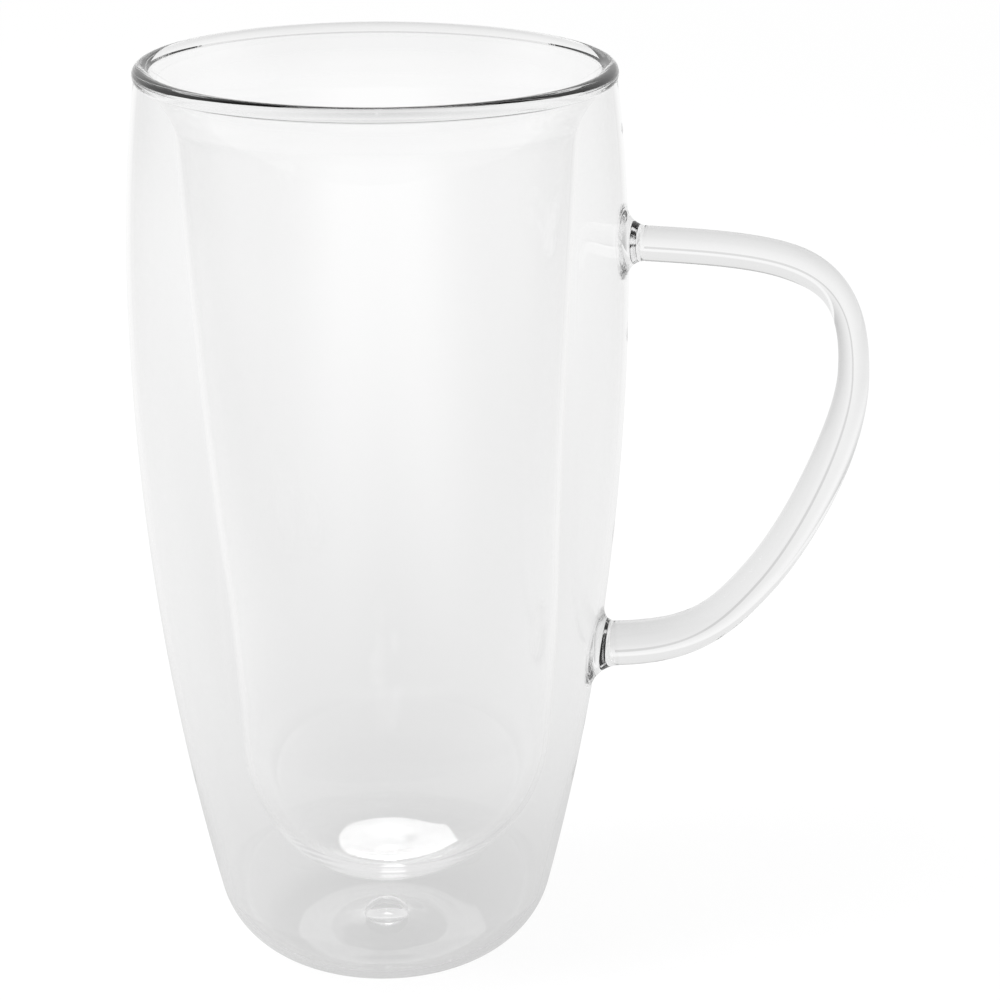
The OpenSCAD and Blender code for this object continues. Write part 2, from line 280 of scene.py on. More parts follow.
class CupForm:
    """Lines that the pieces of the cup share, worked out once from the sizes."""

    def __init__(self, s):
        self.s = s
        self.neck_h = s.cup_h - s.lip_h
        drop = s.belly_r - s.base_r
        self.low_r = (s.belly_h ** 2 + drop ** 2) / (2 * drop)
        drop = s.belly_r - s.neck_r
        rise = self.neck_h - s.belly_h
        self.up_r = (rise ** 2 + drop ** 2) / (2 * drop)
        low_x = s.belly_r - self.low_r
        self.heel_x = low_x + math.sqrt((self.low_r - s.heel_r) ** 2 - (s.belly_h - s.heel_r) ** 2)
        self.heel_end = math.atan2(s.heel_r - s.belly_h, self.heel_x - low_x)
        self.heel_top = s.heel_r * (1 + math.sin(self.heel_end))
        self.foot_r = self.heel_x - s.foot_w
        low = arc(low_x, s.belly_h, self.low_r, self.heel_end, 0, along("low"))
        up = arc(s.belly_r - self.up_r, s.belly_h, self.up_r, 0, math.asin(rise / self.up_r),
                 along("up"))
        self.skin = np.vstack([low, up[1:]])
        thinning = ease((self.skin[:, 1] - self.heel_top) / s.thin_run)
        t = s.wall_t + (s.heel_t - s.wall_t) * (1 - thinning)
        self.gap_side = inset(self.skin, t, heading(self.heel_end), (1, 0))
        self.inner_rim_r = s.neck_r - s.wall_t - s.lip_gap
        # The lip's round crown runs out into a straight slant on its cup side
        self.lip_x = s.neck_r - (s.wall_t + s.inner_t + s.lip_gap) / 2
        self.lip_z = s.cup_h - s.lip_r
        self.crown_end = (self.lip_x - s.lip_r * math.cos(s.lip_slant),
                          self.lip_z + s.lip_r * math.sin(s.lip_slant))
        self.lip_foot_r = self.crown_end[0] - (self.crown_end[1] - self.neck_h) * math.tan(s.lip_slant)

    def skin_r(self, z):
        """Radius of the outer skin at a height."""
        r = np.where(z < self.s.belly_h, self.low_r, self.up_r)
        return self.s.belly_r - r * (1 - np.sqrt(1 - ((z - self.s.belly_h) / r) ** 2))

    def hollow(self, r):
        """Height of the underside of the base."""
        return self.s.recess_h * (1 - ease(r / self.foot_r))

    def under(self, r):
        return np.c_[r, self.hollow(r)]

    def over(self, r):
        """The base's gap side: its glass is thickest in the middle, where the blowpipe was broken off."""
        swell = (self.s.floor_t - self.s.heel_t) * (1 - ease(r / self.foot_r))
        return np.c_[r, self.hollow(r) + self.s.heel_t + swell]

    def outer_wall(self):
        skin, gap = self.skin, self.gap_side
        return ring_closed(chained(
            free(skin), joint([skin[-1], gap[-1]]), free(gap[::-1]), joint([gap[0], skin[0]])))

    def base(self):
        s = self.s
        rest = s.vent_r + (s.button_r - s.vent_r) * along("rest")
        sole = s.button_r + (self.foot_r - s.button_r) * along("sole")
        seat = s.vent_r + (s.seal_r - s.vent_r) * along("seat")
        pan = s.seal_r + (self.heel_x - s.seal_r) * along("pan")
        heel, gap = (
            arc(self.heel_x, s.heel_r, r, -math.pi / 2, self.heel_end, ease(along(stretch)))
            for r, stretch in ((s.heel_r, "heel"), (s.heel_r - s.heel_t, "heel_gap")))
        return ring_closed(chained(
            joint(self.under(rest)), free(self.under(sole)), free(heel), joint([heel[-1], gap[-1]]),
            free(gap[::-1]), free(self.over(pan[::-1])), joint(self.over(seat[::-1])),
            joint([self.over(seat)[0], self.under(rest)[0]])))

    def vent_seal(self):
        s = self.s
        a = math.pi / 2 * along("bead")
        bead_r = s.seal_r * np.cos(a)
        bead = self.over(bead_r) + np.c_[0 * a, s.seal_h * np.sin(a)]
        button_r = s.button_r * np.cos(a[::-1])
        button = self.under(button_r) - np.c_[0 * a, s.button_h * np.sin(a[::-1])]
        rest = s.button_r + (s.vent_r - s.button_r) * along("rest")
        seat = s.vent_r + (s.seal_r - s.vent_r) * along("seat")
        button[0, 0] = bead[-1, 0] = 0
        return chained(free(button), joint(self.under(rest)), joint(self.over(seat)), free(bead))

    def inner_wall(self):
        s = self.s
        bowl_z = s.inner_lift + s.inner_bowl_r
        top = np.array([s.inner_neck_r, self.neck_h - s.shoulder_h])
        way = top - (0, bowl_z)
        bowl_end = math.atan2(way[1], way[0]) - math.acos(s.inner_bowl_r / np.linalg.norm(way))
        bowl = arc(0, bowl_z, s.inner_bowl_r, -math.pi / 2, bowl_end, along("bowl"))
        k = along("side")[:, None]
        side = bowl[-1] + (top - bowl[-1]) * k + np.c_[4 * s.inner_bow * k * (1 - k), 0 * k]
        slope = (top[0] - bowl[-1][0]) / (top[1] - bowl[-1][1])
        out = self.inner_rim_r - top[0] - slope * s.shoulder_h
        k = along("shoulder")
        # The shoulder swings out smoothly and is still leaning out where it enters the lip
        lean = (math.tan(s.lip_slant) - slope) * s.shoulder_h
        swing = (out - lean / 2) * ease(k) + lean / 2 * k * k
        shoulder = top + np.c_[slope * s.shoulder_h * k + swing, s.shoulder_h * k]
        vessel = np.vstack([bowl, side[1:]])
        # Soft glass ran down the wall and pooled where it faces straight down
        down = (bowl_z - vessel[:, 1]) / np.hypot(vessel[:, 0], vessel[:, 1] - bowl_z)
        pooled = s.pool_t * np.clip(down, 0, 1) ** s.pool_focus
        cup_side = inset(vessel, s.inner_t + pooled, (0, -1), (1, 0))
        # and up the shoulder it gathered, so that the cup side runs into the lip's slant
        rim_t = self.inner_rim_r - self.lip_foot_r
        shoulder_t = s.inner_t + (rim_t - s.inner_t) * ease(k)
        vessel[0, 0] = cup_side[0, 0] = 0
        line = np.vstack([vessel, shoulder[1:]])
        cup_side = np.vstack([cup_side, (shoulder - np.c_[shoulder_t, 0 * k])[1:]])
        return chained(free(line), joint([line[-1], cup_side[-1]]), free(cup_side[::-1]))

    def lip_bead(self):
        s = self.s
        x, z = self.lip_x, self.lip_z
        lean = math.acos((s.neck_r - x) / s.lip_r)
        skirt_r = (z - self.neck_h) / math.sin(lean)
        crown = arc(x, z, s.lip_r, 0, math.pi - s.lip_slant, ease(along("crown")))
        a = lean * (ease(along("skirt")) - 1)
        skirt = np.c_[x + s.lip_r * np.cos(a), z + skirt_r * np.sin(a)]
        slant = np.array([self.lip_foot_r, self.neck_h]) - crown[-1]
        inner = crown[-1] + slant * along("slant")[:, None]
        # Surface tension rounds the end of the air gap into a small arch
        k = along("arch")
        arch_rise = 0.7 * s.lip_gap
        arch = np.c_[self.inner_rim_r + s.lip_gap * k, self.neck_h + arch_rise * np.sin(math.pi * k)]
        return ring_closed(chained(
            free(skirt), free(crown), free(inner), joint([inner[-1], arch[0]]), free(arch),
            joint([arch[-1], skirt[0]])))


class Weld:
    """Where the rod meets the wall: its footprint on the skin and the direction of the rod."""

    def __init__(self, form, h, z, tilt, flare, pad_r, drag):
        self.form, self.z, self.flare, self.sides = form, z, flare, h.sides
        self.skin_lead, self.rod_lead = h.skin_lead, h.rod_lead
        self.root = np.array([float(form.skin_r(z)), 0, z])
        self.axis = np.array([math.cos(tilt), 0, math.sin(tilt)])
        a = 2 * math.pi * np.arange(h.sides) / h.sides
        tall = np.where(np.sin(a) > 0, 1 - drag / 2, 1 + drag)
        self.loop = pad_r * np.c_[np.cos(a), tall * np.sin(a)]

    def rod_end(self):
        return (self.root + self.flare * self.axis)[[0, 2]]

    def on_skin(self, flat):
        """Points given as distance across and height above the root, laid on the outer skin."""
        z = self.z + flat[:, 1]
        r = self.form.skin_r(z)
        a = flat[:, 0] / self.root[0]
        return np.c_[r * np.cos(a), r * np.sin(a), z]

    def skin_normals(self, points):
        step = 1e-5
        r = np.hypot(points[:, 0], points[:, 1])
        slope = (self.form.skin_r(points[:, 2] + step) - self.form.skin_r(points[:, 2] - step)) / (2 * step)
        n = np.c_[points[:, 0] / r, points[:, 1] / r, -slope]
        return n / np.linalg.norm(n, axis=1)[:, None]


def welds(form, h):
    z = form.s.cup_h - h.upper_depth
    return (Weld(form, h, z, h.upper_tilt, h.upper_flare, h.upper_pad_r, 0),
            Weld(form, h, h.lower_z, h.lower_tilt, h.lower_flare, h.lower_pad_r, h.lower_drag))


# Meshes

def new_object(name, data):
    o = bpy.data.objects.new(name, data)
    bpy.context.scene.collection.objects.link(o)
    return o


def add(tree, kind, links=(), **settings):
    """Adds a node with its settings, and sets or links its inputs. A node given means its first output."""
    node = tree.nodes.new(kind)
    for key, value in settings.items():
        setattr(node, key, value)
    for key, value in dict(links).items():
        if isinstance(value, bpy.types.Node):
            value = value.outputs[0]
        if isinstance(value, bpy.types.NodeSocket):
            tree.links.new(value, node.inputs[key])
        else:
            node.inputs[key].default_value = value
    return node


def new_tree(name, **inputs):
    """An empty geometry tree with named inputs, and the outputs of its input node."""
    tree = bpy.data.node_groups.new(name, "GeometryNodeTree")
    tree.interface.new_socket("Geometry", in_out="OUTPUT", socket_type="NodeSocketGeometry")
    tree.interface.new_socket("Geometry", in_out="INPUT", socket_type="NodeSocketGeometry")
    for key, kind in inputs.items():
        tree.interface.new_socket(key, in_out="INPUT", socket_type=kind)
    return tree, tree.nodes.new("NodeGroupInput").outputs


def end_tree(tree, given, shape):
    """Realizes the shape and gives it glass, and the joint material where every corner is on a joint."""
    real = add(tree, "GeometryNodeRealizeInstances", {0: shape})
    mark = add(tree, "GeometryNodeInputNamedAttribute", {"Name": "joint"})
    whole = add(tree, "FunctionNodeCompare", {0: mark, 1: ON_JOINT}, operation="GREATER_EQUAL")
    glass = add(tree, "GeometryNodeSetMaterial", {0: real, "Material": given["Glass"]})
    fused = add(tree, "GeometryNodeSetMaterial", {0: glass, "Selection": whole, "Material": given["Joint"]})
    add(tree, "NodeGroupOutput", {0: fused})
    return tree


def shape_curve(node, points):
    """Gives a float curve its points."""
    curve = node.mapping.curves[0]
    while len(curve.points) < len(points):
        curve.points.new(0.5, 0.5)
    for p, at in zip(curve.points, points):
        p.location = at
    node.mapping.update()


def turned_tree():
    """Turns a row of outline points about the cup's axis, with a sideways sway by height."""
    name = "Turned glass"
    if name in bpy.data.node_groups:
        return bpy.data.node_groups[name]
    tree, given = new_tree(
        name, Segments="NodeSocketInt", Height="NodeSocketFloat", Sway="NodeSocketFloat",
        Towards="NodeSocketFloat", Glass="NodeSocketMaterial", Joint="NodeSocketMaterial")
    shape = given["Geometry"]
    count = add(tree, "GeometryNodeAttributeDomainSize", {0: shape}, component="MESH").outputs["Point Count"]
    columns = add(tree, "ShaderNodeMath", {0: given["Segments"], 1: 1}, operation="ADD")
    grid = add(tree, "GeometryNodeMeshGrid", {"Vertices X": columns, "Vertices Y": count})
    index = add(tree, "GeometryNodeInputIndex")
    row, place = (add(tree, "ShaderNodeMath", {0: index, 1: count}, operation=way)
                  for way in ("MODULO", "DIVIDE"))
    column = add(tree, "ShaderNodeMath", {0: place}, operation="FLOOR")
    part = add(tree, "ShaderNodeMath", {0: column, 1: given["Segments"]}, operation="DIVIDE")
    angle = add(tree, "ShaderNodeMath", {0: part, 1: 2 * math.pi}, operation="MULTIPLY")
    where = add(tree, "GeometryNodeInputPosition")
    point = add(tree, "GeometryNodeSampleIndex", {"Geometry": shape, "Value": where, "Index": row},
                data_type="FLOAT_VECTOR")
    turned = add(tree, "ShaderNodeVectorRotate", {"Vector": point, "Angle": angle}, rotation_type="Z_AXIS")
    high = add(tree, "ShaderNodeSeparateXYZ", {0: point})
    level = add(tree, "ShaderNodeMath", {0: high.outputs["Z"], 1: given["Height"]}, operation="DIVIDE")
    # The inner vessel hangs a little askew: most at a third of its height, none at the lip
    sway_by_height = [(0, 0), (0.07, 0.07), (0.2, 0.88), (0.32, 1), (0.5, 0.57), (0.7, 0.18), (1, 0)]
    lean = add(tree, "ShaderNodeFloatCurve", {"Value": level})
    shape_curve(lean, sway_by_height)
    push = add(tree, "ShaderNodeMath", {0: lean, 1: given["Sway"]}, operation="MULTIPLY")
    straight = add(tree, "ShaderNodeCombineXYZ", {"X": push})
    aside = add(tree, "ShaderNodeVectorRotate", {"Vector": straight, "Angle": given["Towards"]},
                rotation_type="Z_AXIS")
    placed = add(tree, "GeometryNodeSetPosition", {0: grid, "Position": turned, "Offset": aside})
    mark = add(tree, "GeometryNodeInputNamedAttribute", {"Name": "joint"})
    on_joint = add(tree, "GeometryNodeSampleIndex", {"Geometry": shape, "Value": mark, "Index": row})
    marked = add(tree, "GeometryNodeStoreNamedAttribute", {0: placed, "Name": "joint", "Value": on_joint})
    merged = add(tree, "GeometryNodeMergeByDistance", {0: marked, "Distance": TOUCH})
    return end_tree(tree, given, merged)


def rod_tree():
    """Draws a rod along a row of points, as thick and as wide as each point says."""
    name = "Drawn rod"
    if name in bpy.data.node_groups:
        return bpy.data.node_groups[name]
    tree, given = new_tree(name, Sides="NodeSocketInt", Glass="NodeSocketMaterial",
                           Joint="NodeSocketMaterial")
    axis = add(tree, "GeometryNodeMeshToCurve", {0: given["Geometry"]})
    thick, wide = (add(tree, "GeometryNodeInputNamedAttribute", {"Name": key}) for key in ("thick", "wide"))
    ring = add(tree, "GeometryNodeCurvePrimitiveCircle", {"Resolution": given["Sides"], "Radius": 0.5})
    rod = add(tree, "GeometryNodeCurveToMesh", {
        0: axis, "Profile Curve": ring, "Scale": thick, "Fill Caps": True})
    ratio = add(tree, "ShaderNodeMath", {0: wide, 1: thick}, operation="DIVIDE")
    stretch = add(tree, "ShaderNodeCombineXYZ", {"X": 1, "Y": ratio, "Z": 1})
    where = add(tree, "GeometryNodeInputPosition")
    oval = add(tree, "ShaderNodeVectorMath", {0: where, 1: stretch}, operation="MULTIPLY")
    placed = add(tree, "GeometryNodeSetPosition", {0: rod, "Position": oval})
    return end_tree(tree, given, placed)


def seed_mesh(name, points, **attributes):
    """A row of points, joined by edges, that a tree grows into a piece."""
    mesh = bpy.data.meshes.new(name)
    mesh.from_pydata([tuple(p) for p in points], [(k, k + 1) for k in range(len(points) - 1)], [])
    for key, values in attributes.items():
        mesh.attributes.new(key, "FLOAT", "POINT").data.foreach_set("value", list(values))
    return mesh


def grown(name, seed, tree, inputs):
    """Grows the seed through the tree into an object with a plain mesh and no modifier."""
    o = new_object(name, seed)
    modifier = o.modifiers.new(tree.name, "NODES")
    modifier.node_group = tree
    for item in tree.interface.items_tree:
        if item.in_out == "INPUT" and item.name in inputs:
            modifier[item.identifier] = inputs[item.name]
    made = o.evaluated_get(bpy.context.evaluated_depsgraph_get())
    mesh = bpy.data.meshes.new_from_object(made)
    # A grid brings an empty slot of its own, ahead of the glass
    while mesh.materials[0] is None:
        mesh.materials.pop(index=0)
    o.modifiers.remove(modifier)
    o.data = mesh
    bpy.data.meshes.remove(seed)
    mesh.name = name
    return o


def turned_piece(name, outline, glass, form, sway=0.0):
    look = bpy.context.scene.glass_cup_look
    seed = seed_mesh(name + "_outline", np.c_[outline[:, 0], 0 * outline[:, 0], outline[:, 1]],
                     joint=outline[:, 2])
    return grown(name, seed, turned_tree(), {
        "Segments": form.s.segments, "Height": form.s.cup_h, "Sway": sway,
        "Towards": look.camera_turn, "Glass": glass, "Joint": fused_joint()})


def close_up(mesh):
    """Faces outwards, smooth glass, and sharp edges only round the fused faces."""
    bm = bmesh.new()
    bm.from_mesh(mesh)
    bmesh.ops.remove_doubles(bm, verts=bm.verts, dist=TOUCH)
    bmesh.ops.recalc_face_normals(bm, faces=bm.faces)
    if bm.calc_volume(signed=True) < 0:
        bmesh.ops.reverse_faces(bm, faces=bm.faces)
    open_edges = sum(len(e.link_faces) != 2 for e in bm.edges)
    if open_edges:
        raise RuntimeError(f"{mesh.name} has {open_edges} open edges")
    for f in bm.faces:
        f.smooth = True
    for e in bm.edges:
        a, b = e.link_faces
        e.smooth = a.material_index == b.material_index
    bm.to_mesh(mesh)
    bm.free()


def finish_piece(o, node, glass):
    """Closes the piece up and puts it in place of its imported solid."""
    mesh = o.data
    if not mesh.materials:
        mesh.materials.append(glass)
        mesh.materials.append(fused_joint())
    close_up(mesh)
    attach(o, "root")
    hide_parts(node)


def quads_between(bm, a, b, material=GLASS):
    n = len(a)
    for k in range(n):
        j = (k + 1) % n
        bm.faces.new((a[k], a[j], b[j], b[k])).material_index = material


def fused_fan(bm, ring, middle):
    centre = bm.verts.new(middle)
    for k, v in enumerate(ring):
        bm.faces.new((v, ring[(k + 1) % len(ring)], centre)).material_index = FUSED


def fused_pad(bm, ring, weld):
    """Fills the footprint ring by ring. The wall and the weld both call this, so their faces match."""
    rings = 6
    before = ring
    for k in range(1, rings):
        now = [bm.verts.new(p) for p in weld.on_skin(weld.loop * (1 - k / rings))]
        quads_between(bm, before, now, FUSED)
        before = now
    fused_fan(bm, before, weld.on_skin(np.zeros((1, 2)))[0])


def open_window(bm, form, weld):
    """Takes a window out of the outer skin round a weld, and gives its corners in turn."""
    step = 2 * math.pi / form.s.segments
    columns = weld.sides // 8
    rows = weld.sides // 4 - columns
    heights = form.skin[:, 1]
    middle = int(np.argmin(np.abs(heights - weld.z)))
    low, high = heights[middle - rows], heights[middle + rows]
    edge = columns * step
    depth = form.s.wall_t / 3
    doomed = []
    for f in bm.faces:
        c = f.calc_center_median()
        if abs(math.atan2(c.y, c.x)) < edge and low < c.z < high:
            if math.hypot(c.x, c.y) > float(form.skin_r(c.z)) - depth:
                doomed.append(f)
    bmesh.ops.delete(bm, geom=doomed, context="FACES")
    bmesh.ops.delete(bm, geom=[v for v in bm.verts if not v.link_faces], context="VERTS")
    rim = [v for v in bm.verts if any(e.is_boundary for e in v.link_edges)]
    if len(rim) != weld.sides:
        raise RuntimeError(f"the window has {len(rim)} corners and the weld {weld.sides}")
    flat = np.array([(math.atan2(v.co.y, v.co.x) * weld.root[0], v.co.z - weld.z) for v in rim])
    wide, tall = edge * weld.root[0], (high - low) / 2
    order = np.argsort(turn_order((flat[:, 1] - heights[middle] + weld.z) / tall, flat[:, 0] / wide))
    return [rim[k] for k in order], flat[order]


def fill_window(bm, form, weld):
    """Carries the skin from the window's frame to the weld's footprint, and fills that."""
    before, outside = open_window(bm, form, weld)
    for s in along("window")[1:]:
        now = [bm.verts.new(p) for p in weld.on_skin(outside * (1 - s) + weld.loop * s)]
        quads_between(bm, before, now)
        before = now
    fused_pad(bm, before, weld)


def rod_ring(mesh, end):
    """Corners of the rod's fused face nearest to a point."""
    target = Vector((end[0], 0, end[1]))
    caps = [p for p in mesh.polygons if p.material_index == FUSED]
    cap = min(caps, key=lambda p: (Vector(p.center) - target).length)
    return np.array([mesh.vertices[i].co[:] for i in cap.vertices])


def weld_mesh(name, weld, rod):
    """A gather of glass that leaves the skin level with it and meets the rod level with that."""
    ring = rod_ring(rod.data, weld.rod_end())
    middle = ring.mean(axis=0)
    upward = np.cross(weld.axis, (0, -1, 0))
    upward *= math.copysign(1, upward[2])
    ring = ring[np.argsort(turn_order((ring - middle) @ upward, ring[:, 1]))]
    foot = weld.on_skin(weld.loop)
    normal = weld.skin_normals(foot)
    inward = ring - foot
    inward -= normal * np.sum(inward * normal, axis=1)[:, None]
    corners = (foot, foot + weld.skin_lead * inward, ring - weld.rod_lead * weld.flare * weld.axis, ring)
    bm = bmesh.new()
    before = [bm.verts.new(p) for p in foot]
    fused_pad(bm, before, weld)
    for s in along("weld")[1:]:
        now = [bm.verts.new(p) for p in cubic(corners, s)]
        quads_between(bm, before, now)
        before = now
    fused_fan(bm, before, middle)
    mesh = bpy.data.meshes.new(name)
    bm.to_mesh(mesh)
    bm.free()
    return mesh


def rod_axis(h, upper, lower):
    """The rod's axis in three cubic curves, with its thickness and width at each point."""
    start, end = upper.rod_end(), lower.rod_end()
    most = upper.root[[0, 2]] + (h.reach, -h.reach_depth)
    elbow = lower.root[[0, 2]] + (h.elbow_reach, h.elbow_rise)
    # Leads that shape the three curves, as shares of the handle's reach
    top_lead, crown_lead, side_lead = 0.64, 0.52, 0.265
    elbow_in, elbow_out, root_lead = 0.29, 0.306, 0.34
    out, sky, back, home = (h.reach * heading(a) for a in (
        h.upper_tilt, math.pi / 2, h.elbow_turn, h.lower_tilt))
    curves = (
        (start, start + top_lead * out, most + crown_lead * sky, most),
        (most, most - side_lead * sky, elbow - elbow_in * back, elbow),
        (elbow, elbow + elbow_out * back, end + root_lead * home, end))
    s = along("rod")[1:, None]
    points = np.vstack([start] + [cubic(c, s) for c in curves])
    station = np.array([0, 0.14, 0.25, 0.52, 0.75, 1])
    thick = np.array([h.top_d, h.top_d, h.bend_d, h.side_d, h.side_d, h.root_d])
    wide = np.array([h.top_d, h.top_d, h.bend_w, h.side_d, h.side_d, h.root_d])
    at = np.linspace(0, 1, len(points))
    k = np.clip(np.searchsorted(station, at, side="right") - 1, 0, len(station) - 2)
    mix = ease((at - station[k]) / (station[k + 1] - station[k]))
    return points, thick[k] + (thick[k + 1] - thick[k]) * mix, wide[k] + (wide[k + 1] - wide[k]) * mix


# Materials

def new_material(name):
    m = bpy.data.materials.new(name)
    m.use_nodes = True
    m.node_tree.nodes.clear()
    return m


def faded(tree, level, *ramps):
    """The level times each soft ramp: a value, its start and end, and the shares there if not 0 and 1."""
    for ramp in ramps:
        value, start, end, low, high = (*ramp, 0, 1)[:5]
        part = add(tree, "ShaderNodeMapRange", {
            "Value": value, "From Min": start, "From Max": end, "To Min": low, "To Max": high},
            interpolation_type="SMOOTHSTEP")
        level = add(tree, "ShaderNodeMath", {0: level, 1: part}, operation="MULTIPLY")
    return level


def painted_dark_line(tree, look):
    """How much of the painted dark line there is: 1 where the rod's skin faces straight out of the handle's
    plane. It is painted shade, standing in for the dark line that refraction shows along the rod.
    """
    skin = add(tree, "ShaderNodeNewGeometry")
    facing = add(tree, "ShaderNodeVectorMath", {0: skin.outputs["Normal"], 1: (0, -1, 0)},
                 operation="DOT_PRODUCT")
    outside = add(tree, "ShaderNodeMath", {0: 1, 1: skin.outputs["Backfacing"]}, operation="SUBTRACT")
    return faded(tree, outside, (facing.outputs["Value"], math.cos(look.painted_line_wide), 1))


def clear_glass(name, colour, turns=None, with_painted_line=False):
    """Borosilicate glass: no colour of its own, no scatter, and a mirror smooth surface."""
    if name in bpy.data.materials:
        return bpy.data.materials[name]
    look = bpy.context.scene.glass_cup_look
    m = new_material(name)
    t = m.node_tree
    tone = (*colour, 1)
    # Painted shade: a dark line is mixed into the rod's glass colour where its skin faces out of the handle's
    # plane, standing in for the line that refraction shows
    if with_painted_line:
        tone = add(t, "ShaderNodeMix", {
            0: painted_dark_line(t, look), 6: tone, 7: (*look.painted_line_tint, 1)}, data_type="RGBA").outputs[2]
    glass = add(t, "ShaderNodeBsdfPrincipled", {
        "Base Color": tone, "Roughness": 0.0, "Transmission Weight": 1.0, "IOR": look.ior})
    path = add(t, "ShaderNodeLightPath")
    if turns is not None:
        # Light that is mirrored on and on inside a thick round of glass is used up there. What has
        # crossed a fused joint came up a wall, and is given more turns. What has crossed more than
        # two surfaces of glass is only seen past this one, and is kept.
        most = add(t, "ShaderNodeMapRange", {
            "Value": path.outputs["Transparent Depth"], "To Min": turns, "To Max": look.wall_turns})
        over = add(t, "ShaderNodeMath", {0: path.outputs["Glossy Depth"], 1: most},
                   operation="GREATER_THAN")
        spent = faded(t, over, (path.outputs["Transmission Depth"], 3, 2))
        dark = add(t, "ShaderNodeEmission", {"Strength": 0.0})
        glass = add(t, "ShaderNodeMixShader", {0: spent, 1: glass, 2: dark})
    # Lamps shine through the glass with a little loss, so that the floor keeps a faint shadow
    clear = add(t, "ShaderNodeBsdfTransparent", {"Color": (*look.lamp_tint, 1)})
    mix = add(t, "ShaderNodeMixShader", {0: path.outputs["Is Shadow Ray"], 1: glass, 2: clear})
    add(t, "ShaderNodeOutputMaterial", {"Surface": mix})
    return m


def wall_glass():
    """Blown borosilicate, which the flame leaves thin and even."""
    return clear_glass("blown borosilicate glass", bpy.context.scene.glass_cup_look.wall_tint)


def base_glass():
    """Thick borosilicate closed by hand in the flame, a little greyer than the thin walls."""
    return clear_glass("flame worked borosilicate glass", bpy.context.scene.glass_cup_look.base_tint)


def lip_glass():
    """Fire polished borosilicate, whose round form gathers the dark line along the rim."""
    look = bpy.context.scene.glass_cup_look
    return clear_glass("fire polished borosilicate glass", look.base_tint, look.lip_turns)


def rod_glass():
    """Drawn borosilicate rod, thick enough to look a little grey, with painted shade along its side: a dark
    line that stands in for the one refraction shows.
    """
    return clear_glass("drawn borosilicate rod", bpy.context.scene.glass_cup_look.rod_tint, with_painted_line=True)


def weld_glass():
    """Borosilicate gathered in the flame, as grey as the rod and without the rod's painted dark line."""
    return clear_glass("gathered borosilicate glass", bpy.context.scene.glass_cup_look.rod_tint)


def fused_joint():
    """Inside fused glass there is no surface, so light passes the joint as if it were not there."""
    name = "fused glass joint"
    if name in bpy.data.materials:
        return bpy.data.materials[name]
    m = new_material(name)
    clear = add(m.node_tree, "ShaderNodeBsdfTransparent", {"Color": (1, 1, 1, 1)})
    add(m.node_tree, "ShaderNodeOutputMaterial", {"Surface": clear})
    return m


def floor_with_painted_shadow(look):
    """Matt painted floor: white to the eye; as the glass shows it, it carries a painted shadow of the cup
    near the foot and painted shade at both sides.
    """
    m = new_material("matt white floor paint")
    t = m.node_tree
    where = add(t, "ShaderNodeTexCoord").outputs["Object"]
    a = look.camera_turn
    across, ahead = (
        add(t, "ShaderNodeVectorMath", {0: where, 1: axis}, operation="DOT_PRODUCT").outputs["Value"]
        for axis in ((math.cos(a), math.sin(a), 0), (-math.sin(a), math.cos(a), 0)))
    # Painted shadow of the cup: as the glass shows it, the floor darkens towards the foot, over the near
    # width aside and the near reach ahead
    flat = add(t, "ShaderNodeCombineXYZ", {"X": across, "Y": ahead, "Z": 1.0})
    spread = add(t, "ShaderNodeVectorMath", {0: flat, 1: (1 / look.near_wide, 1 / look.near_reach, 1)},
                 operation="MULTIPLY")
    spread = add(t, "ShaderNodeVectorMath", {0: spread, 1: spread}, operation="DOT_PRODUCT")
    near = add(t, "ShaderNodeMath", {0: look.near_painted_shadow, 1: spread.outputs["Value"]}, operation="DIVIDE")
    near = add(t, "ShaderNodeMath", {0: 1, 1: near}, operation="SUBTRACT")
    # The length is taken to a point above the foot, so that the middle of the floor has no painted side shade
    away = add(t, "ShaderNodeVectorMath", {0: where, 1: (0, 0, look.middle)},
               operation="DISTANCE").outputs["Value"]
    aside = add(t, "ShaderNodeMath", {0: across, 1: away}, operation="DIVIDE")
    aside = add(t, "ShaderNodeMath", {0: aside}, operation="ABSOLUTE")
    # Painted shade: darker again at both sides, as the glass shows the floor
    tone = faded(t, near, (aside, look.side_from, look.side_to, 1, 1 - look.side_painted_shade))
    path = add(t, "ShaderNodeLightPath")
    seen = add(t, "ShaderNodeMix", {0: path.outputs["Is Camera Ray"], 2: tone, 3: 1.0})
    paint = add(t, "ShaderNodeBsdfDiffuse", {"Color": (*look.floor_tint, 1)})
    glow = add(t, "ShaderNodeEmission", {"Color": (1, 1, 1, 1), "Strength": seen})
    shown = path.outputs["Is Camera Ray"]
    for ray in ("Is Glossy Ray", "Is Transmission Ray"):
        shown = add(t, "ShaderNodeMath", {0: shown, 1: path.outputs[ray]}, operation="MAXIMUM")
    # Far from the cup there is no shadow to keep, and the floor is as white as the studio behind it
    lit = faded(t, shown, (away, look.fade_from, look.fade_to, 1 - look.shadow, 1))
    mix = add(t, "ShaderNodeMixShader", {0: lit, 1: paint, 2: glow})
    add(t, "ShaderNodeOutputMaterial", {"Surface": mix})
    return m


